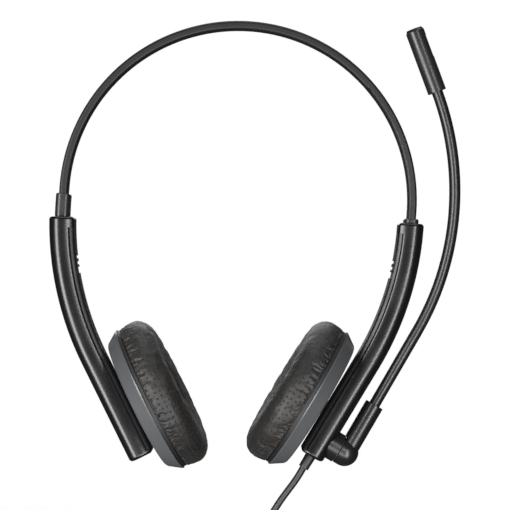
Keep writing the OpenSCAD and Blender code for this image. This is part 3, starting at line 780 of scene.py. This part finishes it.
finishes = {
    # TPU sleeve over the spring: matt, with the faint orange peel of a soft moulding
    "band_sleeve": mouldedPlastic("mouldedTpu", "#0d0d0e", 0.5, grain=0.5, relief=0.012, Specular_IOR_Level=0.35),
    "spring_steel": drawnSteel("springSteel", "#9a9da0", 0.28),
    "inner_wire": extrudedPvc("wireInsulation", "#6e2b26"),
    # acetal slider: slippery and slightly waxy
    "slider_plastic": mouldedPlastic("mouldedAcetal", "#1a1a1c", 0.36, grain=0.3),
    # ABS from a polished mould: deep black with long soft highlights
    "arm_gloss": mouldedPlastic("polishedAbs", "#0b0b0c", 0.27, grain=0.6, relief=0.003, patches=0.03),
    "arm_cover": mouldedPlastic("texturedAbs", "#101012", 0.4, grain=0.3, relief=0.006),
    "screw_steel": drawnSteel("blackedScrewSteel", "#4c4e52", 0.35),
    "pin_steel": drawnSteel("groundPinSteel", "#b4b6b8", 0.18),
    "pivot_plastic": mouldedPlastic("mouldedNylon", "#1c1c1e", 0.5),
    # satin polycarbonate cup: paler than the arms, partly its own grey and partly painted light, raised to stand in
    # for the bright reflection along the cup's side
    "cup_satin": mouldedPlastic("satinPolycarbonate", "#47484a", 0.3, grain=0.3, relief=0.006),
    "baffle_plastic": mouldedPlastic("mouldedBaffleAbs", "#121213", 0.55),
    "speaker_frame": mouldedPlastic("speakerFrameAbs", "#333336", 0.5),
    "magnet": drawnSteel("nickelPlatedMagnet", "#9fa1a4", 0.3),
    "speaker_cone": mouldedPlastic("mylarCone", "#b9b5aa", 0.3, relief=0.03),
    "damping_cloth": wovenCloth("wovenAcousticCloth", "#151515"),
    "cushion_leather": leatherette("perforatedLeatherette", "#0e0e0e"),
    "knob_plastic": mouldedPlastic("knobAbs", "#141416", 0.3, relief=0.006),
    "friction_washer": mouldedPlastic("fibreWasher", "#4d4d4d", 0.7),
    "boom_socket": mouldedPlastic("socketAbs", "#101012", 0.3, relief=0.006),
    # silicone-coated boom: smooth and faintly rubbery
    "boom_rubber": mouldedPlastic("siliconeBoomSleeve", "#121214", 0.33, grain=0.4, relief=0.008),
    "mic_satin": mouldedPlastic("micHousingAbs", "#1b1b1d", 0.33),
    "mic_grille": mouldedPlastic("micGrilleNylon", "#0a0a0a", 0.6),
    "mic_element": drawnSteel("micCan", "#9a9c9f", 0.3),
    "cord_relief": mouldedPlastic("reliefTpe", "#161617", 0.45),
    "cord_jacket": extrudedPvc("pvcJacket", "#171718"),
    "cord_tie": loopStrap("nylonLoopStrap", "#0d0d0e"),
    "plug_grip": mouldedPlastic("plugGripTpe", "#151516", 0.48),
    "plug_metal": jackMetal("goldPlatedJack", "#c9a45c"),
}


def giveFinish(piece, material):
    piece.data.materials.clear()
    piece.data.materials.append(material)


for row in frame["record"]["subparts"]:
    giveFinish(nodes[row["node"]], finishes[row["material_slot"]])
for piece in (cord, cordTie, *cushions, *arms):
    giveFinish(piece, finishes[piece["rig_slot"]])
print("materials:", len(finishes))


# studio: pale floor that fades out into the white surround, two tall strips, a low panel,
# an overhead panel and a fill behind

lightValues = {
    "leftStrip": {"place": (-0.76, -0.92, -0.3), "size": (0.48, 1.2), "power": 25},
    "rightStrip": {"place": (0.5, -1.1, -0.3), "size": (0.24, 1.2), "power": 15},
    "lowPanel": {"place": (0, -1.0, -0.58), "size": (0.5, 0.4), "power": 3.5},
    "overhead": {"place": (0, 0.1, 1.2), "size": (1.2, 1.2), "power": 10},
    "backFill": {"place": (-0.2, 1.5, 0.6), "size": (1.1, 1.1), "power": 9},
}
floorValues = {"size": 3, "tone": "#e9e8e6", "fadeFrom": 0.11, "fadeTo": 0.21, "nearWhite": 0.55,
               "glow": 0.15}


def makeLight(name, values):
    data = bpy.data.lights.new(name, "AREA")
    data.shape = "RECTANGLE"
    data.size, data.size_y = values["size"]
    data.energy = values["power"]
    lamp = link(name, data)
    place = Vector(values["place"])
    aim = Vector((0, 0, -0.11)) - place
    lamp.matrix_world = Matrix.Translation(place) @ aim.to_track_quat("-Z", "Y").to_matrix().to_4x4()
    lamp.visible_camera = False


for name, values in lightValues.items():
    makeLight(name, values)


def makeFloor(values):
    bm = bmesh.new()
    bmesh.ops.create_grid(bm, x_segments=1, y_segments=1, size=values["size"])
    bmesh.ops.translate(bm, vec=(0, 0, cadBox[0].z), verts=bm.verts)
    floor = meshPiece("floor", bm)
    material, tree, shader = newMaterial("paintedFloor", values["tone"], 0.6)
    place = addNode(tree, "ShaderNodeTexCoord").outputs["Object"]
    level = addNode(tree, "ShaderNodeVectorMath", {"operation": "MULTIPLY", 1: (1, 1, 0)}, {0: place})
    away = addNode(tree, "ShaderNodeVectorMath", {"operation": "LENGTH"}, {0: level.outputs["Vector"]})
    fade = addNode(tree, "ShaderNodeMapRange", {"interpolation_type": "SMOOTHSTEP",
                                                "From Min": values["fadeFrom"], "From Max": values["fadeTo"],
                                                "To Min": values["nearWhite"]},
                   {"Value": away.outputs["Value"]})
    glow = addNode(tree, "ShaderNodeMapRange", {"To Min": values["glow"], "To Max": 1},
                   {"Value": addNode(tree, "ShaderNodeLightPath").outputs["Is Camera Ray"]})
    white = addNode(tree, "ShaderNodeEmission", {"Color": (1, 1, 1, 1)}, {"Strength": glow.outputs["Result"]})
    mixed = addNode(tree, "ShaderNodeMixShader", links={0: fade.outputs["Result"], 1: shader.outputs["BSDF"],
                                                        2: white.outputs["Emission"]})
    tree.links.new(mixed.outputs["Shader"], tree.nodes["Material Output"].inputs["Surface"])
    giveFinish(floor, material)
    # light from the panels below floor level still reaches the headset
    floor.visible_shadow = floor.visible_glossy = False


def makeSurround(ambient):
    world = bpy.data.worlds.new("surround")
    world.use_nodes = True
    scene.world = world
    tree = world.node_tree
    soft = tree.nodes["Background"]
    soft.inputs["Color"].default_value = (1, 1, 1, 1)
    soft.inputs["Strength"].default_value = ambient
    white = addNode(tree, "ShaderNodeBackground", {"Color": (1, 1, 1, 1), "Strength": 1})
    seen = addNode(tree, "ShaderNodeLightPath").outputs["Is Camera Ray"]
    mixed = addNode(tree, "ShaderNodeMixShader", links={0: seen, 1: soft.outputs[0], 2: white.outputs[0]})
    tree.links.new(mixed.outputs[0], tree.nodes["World Output"].inputs["Surface"])


makeFloor(floorValues)
makeSurround(0.05)
print("studio ready")
